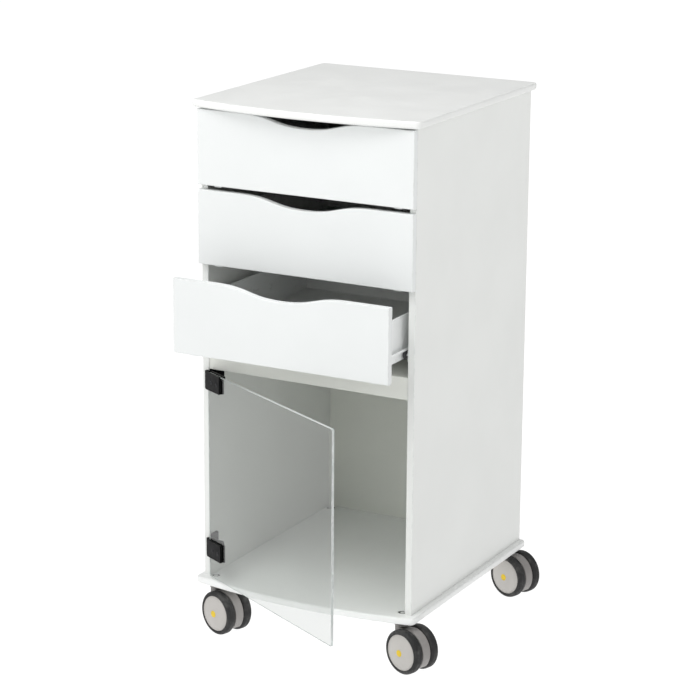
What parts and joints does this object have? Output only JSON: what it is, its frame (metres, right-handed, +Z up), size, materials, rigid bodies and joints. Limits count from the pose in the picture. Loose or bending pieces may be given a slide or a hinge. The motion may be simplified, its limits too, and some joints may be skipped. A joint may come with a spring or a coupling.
{
  "type": "instrument cart",
  "caption": "White sheet pedestal cart on twin-wheel casters, scallop-fronted drawers on roller runners above a cupboard with a frameless clear hinged door.",
  "frame": {"origin": "on the floor, under the middle of the carcass", "axes": "+Z up; the drawers and door face -Y; +X to the right of a person facing the front"},
  "size_m": [0.4789, 0.6645, 0.972],
  "materials": {
    "white_sheet": "satin white sheet plastic",
    "white_board": "matt white board",
    "white_steel": "white epoxy powder coat on folded steel",
    "bright_steel": "zinc plated",
    "clear_sheet": "polished clear sheet",
    "black_metal": "black lacquer",
    "dark_nylon": "moulded nylon",
    "grey_hood": "moulded plastic, fine grain",
    "grey_disc": "moulded plastic, fine grain",
    "grey_tyre": "soft grey tread"
  },
  "bodies": {
    "carcass": {"top_panel": "white_sheet", "base_panel": "white_sheet", "side_panel_left": "white_sheet", "side_panel_right": "white_sheet", "back_panel": "white_sheet", "divider_panel": "white_sheet", "divider_rail": "white_sheet", "carcass_screws": "bright_steel", "cabinet_runners_left": "white_steel", "cabinet_runners_right": "white_steel", "hinge_leaves": "black_metal", "caster_bolts": "bright_steel"},
    "drawer_1": {"drawer_1_front": "white_sheet", "drawer_1_side_left": "white_steel", "drawer_1_side_right": "white_steel", "drawer_1_bottom": "white_board", "drawer_1_back": "white_board", "drawer_1_front_brackets": "white_steel"},
    "drawer_1_rear_rollers": {"drawer_1_rear_rollers": "dark_nylon"},
    "drawer_1_cabinet_rollers": {"drawer_1_cabinet_rollers": "dark_nylon"},
    "drawer_2": {"drawer_2_front": "white_sheet", "drawer_2_side_left": "white_steel", "drawer_2_side_right": "white_steel", "drawer_2_bottom": "white_board", "drawer_2_back": "white_board", "drawer_2_front_brackets": "white_steel"},
    "drawer_2_rear_rollers": {"drawer_2_rear_rollers": "dark_nylon"},
    "drawer_2_cabinet_rollers": {"drawer_2_cabinet_rollers": "dark_nylon"},
    "drawer_3": {"drawer_3_front": "white_sheet", "drawer_3_side_left": "white_steel", "drawer_3_side_right": "white_steel", "drawer_3_bottom": "white_board", "drawer_3_back": "white_board", "drawer_3_front_brackets": "white_steel"},
    "drawer_3_rear_rollers": {"drawer_3_rear_rollers": "dark_nylon"},
    "drawer_3_cabinet_rollers": {"drawer_3_cabinet_rollers": "dark_nylon"},
    "door": {"door_glass": "clear_sheet", "hinge_clamp_top": "black_metal", "hinge_clamp_bottom": "black_metal"},
    "caster_front_left": {"caster_front_left_yoke": "grey_hood"},
    "caster_front_left_wheel_near": {"caster_front_left_disc_near": "grey_disc", "caster_front_left_tyre_near": "grey_tyre"},
    "caster_front_left_wheel_far": {"caster_front_left_disc_far": "grey_disc", "caster_front_left_tyre_far": "grey_tyre"},
    "caster_front_right": {"caster_front_right_yoke": "grey_hood"},
    "caster_front_right_wheel_near": {"caster_front_right_disc_near": "grey_disc", "caster_front_right_tyre_near": "grey_tyre"},
    "caster_front_right_wheel_far": {"caster_front_right_disc_far": "grey_disc", "caster_front_right_tyre_far": "grey_tyre"},
    "caster_rear_left": {"caster_rear_left_yoke": "grey_hood"},
    "caster_rear_left_wheel_near": {"caster_rear_left_disc_near": "grey_disc", "caster_rear_left_tyre_near": "grey_tyre"},
    "caster_rear_left_wheel_far": {"caster_rear_left_disc_far": "grey_disc", "caster_rear_left_tyre_far": "grey_tyre"},
    "caster_rear_right": {"caster_rear_right_yoke": "grey_hood"},
    "caster_rear_right_wheel_near": {"caster_rear_right_disc_near": "grey_disc", "caster_rear_right_tyre_near": "grey_tyre"},
    "caster_rear_right_wheel_far": {"caster_rear_right_disc_far": "grey_disc", "caster_rear_right_tyre_far": "grey_tyre"}
  },
  "joints": [
    {"name": "drawer_1_slide", "type": "slide", "parent": "carcass", "child": "drawer_1", "axis": [0, -1, 0], "range_m": [0, 0.3]},
    {"name": "drawer_1_cabinet_rollers_turn", "type": "hinge", "parent": "carcass", "child": "drawer_1_cabinet_rollers", "pos_m": [0, -0.213, 0.8486], "axis": [1, 0, 0], "continuous": true},
    {"name": "drawer_1_rear_rollers_turn", "type": "hinge", "parent": "drawer_1", "child": "drawer_1_rear_rollers", "pos_m": [0, 0.1835, 0.8486], "axis": [1, 0, 0], "continuous": true},
    {"name": "drawer_2_slide", "type": "slide", "parent": "carcass", "child": "drawer_2", "axis": [0, -1, 0], "range_m": [0, 0.3]},
    {"name": "drawer_2_cabinet_rollers_turn", "type": "hinge", "parent": "carcass", "child": "drawer_2_cabinet_rollers", "pos_m": [0, -0.213, 0.7076], "axis": [1, 0, 0], "continuous": true},
    {"name": "drawer_2_rear_rollers_turn", "type": "hinge", "parent": "drawer_2", "child": "drawer_2_rear_rollers", "pos_m": [0, 0.1835, 0.7076], "axis": [1, 0, 0], "continuous": true},
    {"name": "drawer_3_slide", "type": "slide", "parent": "carcass", "child": "drawer_3", "axis": [0, -1, 0], "range_m": [-0.084, 0.216]},
    {"name": "drawer_3_cabinet_rollers_turn", "type": "hinge", "parent": "carcass", "child": "drawer_3_cabinet_rollers", "pos_m": [0, -0.213, 0.5666], "axis": [1, 0, 0], "continuous": true},
    {"name": "drawer_3_rear_rollers_turn", "type": "hinge", "parent": "drawer_3", "child": "drawer_3_rear_rollers", "pos_m": [0, 0.0995, 0.5666], "axis": [1, 0, 0], "continuous": true},
    {"name": "door_hinge", "type": "hinge", "parent": "carcass", "child": "door", "pos_m": [-0.1985, -0.2295, 0.295], "axis": [0, 0, -1], "range_deg": [-28, 82]},
    {"name": "caster_front_left_swivel", "type": "hinge", "parent": "carcass", "child": "caster_front_left", "pos_m": [-0.1885, -0.216, 0.078], "axis": [0, 0, 1], "continuous": true},
    {"name": "caster_front_left_wheel_near_turn", "type": "hinge", "parent": "caster_front_left", "child": "caster_front_left_wheel_near", "pos_m": [-0.17137, -0.24305, 0.04], "axis": [0.3256, 0.9455, 0], "continuous": true},
    {"name": "caster_front_left_wheel_far_turn", "type": "hinge", "parent": "caster_front_left", "child": "caster_front_left_wheel_far", "pos_m": [-0.15835, -0.20523, 0.04], "axis": [0.3256, 0.9455, 0], "continuous": true},
    {"name": "caster_front_right_swivel", "type": "hinge", "parent": "carcass", "child": "caster_front_right", "pos_m": [0.1885, -0.216, 0.078], "axis": [0, 0, 1], "continuous": true},
    {"name": "caster_front_right_wheel_near_turn", "type": "hinge", "parent": "caster_front_right", "child": "caster_front_right_wheel_near", "pos_m": [0.20563, -0.24305, 0.04], "axis": [0.3256, 0.9455, 0], "continuous": true},
    {"name": "caster_front_right_wheel_far_turn", "type": "hinge", "parent": "caster_front_right", "child": "caster_front_right_wheel_far", "pos_m": [0.21865, -0.20523, 0.04], "axis": [0.3256, 0.9455, 0], "continuous": true},
    {"name": "caster_rear_left_swivel", "type": "hinge", "parent": "carcass", "child": "caster_rear_left", "pos_m": [-0.1885, 0.2115, 0.078], "axis": [0, 0, 1], "continuous": true},
    {"name": "caster_rear_left_wheel_near_turn", "type": "hinge", "parent": "caster_rear_left", "child": "caster_rear_left_wheel_near", "pos_m": [-0.17137, 0.18445, 0.04], "axis": [0.3256, 0.9455, 0], "continuous": true},
    {"name": "caster_rear_left_wheel_far_turn", "type": "hinge", "parent": "caster_rear_left", "child": "caster_rear_left_wheel_far", "pos_m": [-0.15835, 0.22227, 0.04], "axis": [0.3256, 0.9455, 0], "continuous": true},
    {"name": "caster_rear_right_swivel", "type": "hinge", "parent": "carcass", "child": "caster_rear_right", "pos_m": [0.1885, 0.2115, 0.078], "axis": [0, 0, 1], "continuous": true},
    {"name": "caster_rear_right_wheel_near_turn", "type": "hinge", "parent": "caster_rear_right", "child": "caster_rear_right_wheel_near", "pos_m": [0.20563, 0.18445, 0.04], "axis": [0.3256, 0.9455, 0], "continuous": true},
    {"name": "caster_rear_right_wheel_far_turn", "type": "hinge", "parent": "caster_rear_right", "child": "caster_rear_right_wheel_far", "pos_m": [0.21865, 0.22227, 0.04], "axis": [0.3256, 0.9455, 0], "continuous": true}
  ],
  "couplings": [
    {"joint": "drawer_1_cabinet_rollers_turn", "follows": "drawer_1_slide", "rad_per_m": 119.76},
    {"joint": "drawer_1_rear_rollers_turn", "follows": "drawer_1_slide", "rad_per_m": 119.76},
    {"joint": "drawer_2_cabinet_rollers_turn", "follows": "drawer_2_slide", "rad_per_m": 119.76},
    {"joint": "drawer_2_rear_rollers_turn", "follows": "drawer_2_slide", "rad_per_m": 119.76},
    {"joint": "drawer_3_cabinet_rollers_turn", "follows": "drawer_3_slide", "rad_per_m": 119.76},
    {"joint": "drawer_3_rear_rollers_turn", "follows": "drawer_3_slide", "rad_per_m": 119.76}
  ]
}
